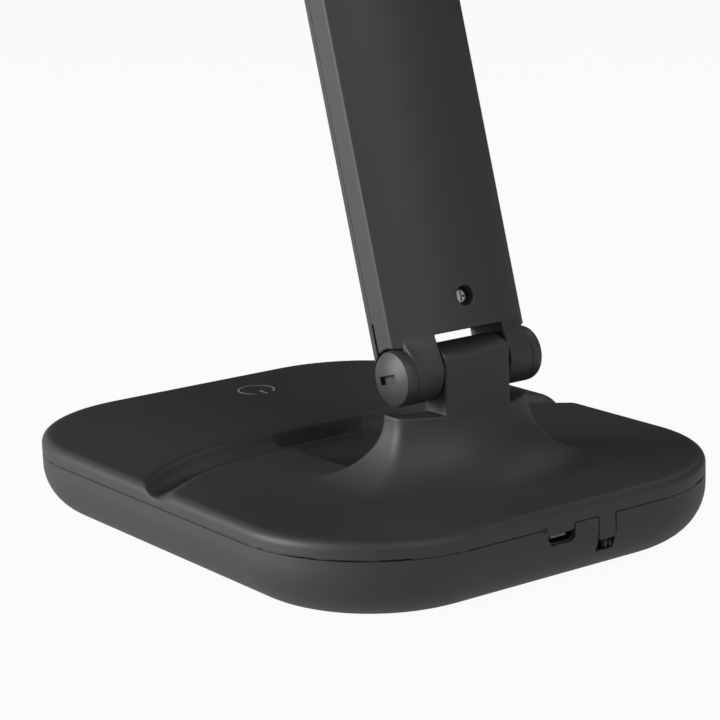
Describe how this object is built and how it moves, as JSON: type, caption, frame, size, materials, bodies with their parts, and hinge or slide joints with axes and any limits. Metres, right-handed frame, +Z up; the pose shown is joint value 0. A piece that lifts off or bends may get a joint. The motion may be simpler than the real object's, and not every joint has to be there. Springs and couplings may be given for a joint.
{
  "type": "table lamp",
  "caption": "folding LED table lamp: slim head on a flat arm, two friction hinges, rounded base with a phone groove, charging inlet and slide switch",
  "frame": {"origin": "centre of the base, on the tray's flat underside; the rubber feet reach 0.8 mm below it", "axes": "-Y to the user (touch mark), +Y to the rear (inlet and switch), +X along the hinge axes, +Z up"},
  "size_m": [0.14, 0.3356, 0.3111],
  "materials": {
    "base_plastic": "fine spark-eroded grain, charcoal black",
    "arm_plastic": "fine grain, dark grey",
    "head_plastic": "fine grain, dark grey",
    "cap_plastic": "satin, dark grey",
    "ballast_steel": "cut plate, lightly oiled",
    "foot_rubber": "matt black",
    "plated_steel": "nickel plated",
    "washer_plastic": "natural, waxy",
    "battery_sleeve": "shrink sleeve",
    "board_laminate": "solder mask",
    "component_black": "moulded",
    "connector_plastic": "moulded",
    "clear_plastic": "clear, polished",
    "copper_foil": "thin foil",
    "lead_sheath": "soft sheath",
    "diffuser_opal": "opal white",
    "reflector_white": "white film",
    "led_phosphor": "yellow phosphor"
  },
  "bodies": {
    "base": {"base_top_cover": "base_plastic", "base_bottom_tray": "base_plastic", "ballast_plate": "ballast_steel", "rubber_feet": "foot_rubber", "base_screws": "plated_steel", "battery_pack": "battery_sleeve", "control_board": "board_laminate", "board_parts": "component_black", "board_screws": "plated_steel", "usb_socket": "plated_steel", "usb_tongue": "connector_plastic", "slide_switch_body": "cap_plastic", "charge_light_pipe": "clear_plastic", "touch_pad": "copper_foil", "neck_lead": "lead_sheath", "lower_hinge_shaft": "plated_steel", "lower_spring_washers": "plated_steel", "lower_hinge_nuts": "plated_steel"},
    "switch_knob": {"switch_slider": "cap_plastic"},
    "arm": {"arm_rear_shell": "arm_plastic", "arm_front_cover": "arm_plastic", "arm_screws": "plated_steel", "arm_lead": "lead_sheath", "lower_friction_washers": "washer_plastic", "lower_pivot_caps": "cap_plastic", "upper_friction_washers": "washer_plastic", "upper_pivot_caps": "cap_plastic"},
    "head": {"head_top_shell": "head_plastic", "head_bezel": "head_plastic", "light_diffuser": "diffuser_opal", "light_guide": "clear_plastic", "reflector_sheet": "reflector_white", "led_board": "board_laminate", "led_chips": "led_phosphor", "head_screws": "plated_steel", "head_lead": "lead_sheath", "upper_hinge_shaft": "plated_steel", "upper_spring_washers": "plated_steel", "upper_hinge_nuts": "plated_steel"}
  },
  "joints": [
    {"name": "arm_tilt", "type": "hinge", "parent": "base", "child": "arm", "pos_m": [0, 0.0433, 0.0502], "axis": [1, 0, 0], "range_deg": [-20, 74]},
    {"name": "head_tilt", "type": "hinge", "parent": "arm", "child": "head", "pos_m": [0, -0.02561, 0.29052], "axis": [1, 0, 0], "range_deg": [-74, 106]},
    {"name": "switch_slide", "type": "slide", "parent": "base", "child": "switch_knob", "axis": [1, 0, 0], "range_m": [0, 0.0024]}
  ]
}
